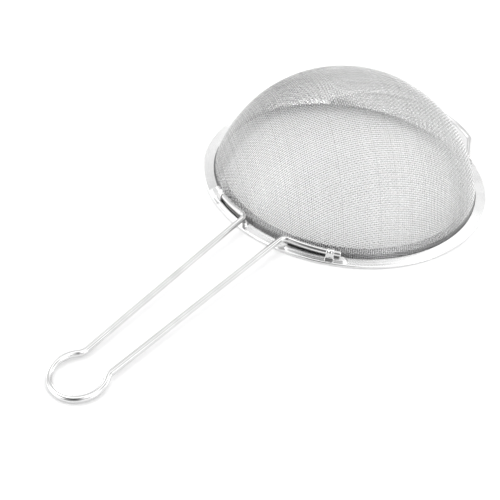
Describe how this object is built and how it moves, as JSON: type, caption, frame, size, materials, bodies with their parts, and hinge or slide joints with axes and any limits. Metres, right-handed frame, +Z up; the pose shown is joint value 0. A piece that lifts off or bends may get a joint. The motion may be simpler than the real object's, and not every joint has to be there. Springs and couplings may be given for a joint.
{
  "type": "wire mesh strainer",
  "caption": "Domed woven-wire strainer bowl in a flat metal rim, with a one-piece looped wire handle and a wire rest hook opposite, both held by bent straps.",
  "frame": {"origin": "centre of the rim, on the plane the rim rests on when the bowl is turned rim down", "axes": "+Z up through the dome's top, -X along the handle, +X toward the rest hook, symmetric about Y = 0"},
  "size_m": [0.3112, 0.16, 0.058],
  "materials": {
    "rim": "polished pressed stainless sheet",
    "mesh": "plain-weave stainless wire cloth",
    "wire": "polished stainless wire",
    "strap": "polished stainless strip"
  },
  "bodies": {
    "root": {"rim_flange": "rim", "inner_collar": "rim", "mesh_bowl": "mesh", "handle_wire": "wire", "hook_wire": "wire", "handle_strap_left": "strap", "handle_strap_right": "strap", "hook_strap_left": "strap", "hook_strap_right": "strap"}
  },
  "joints": []
}
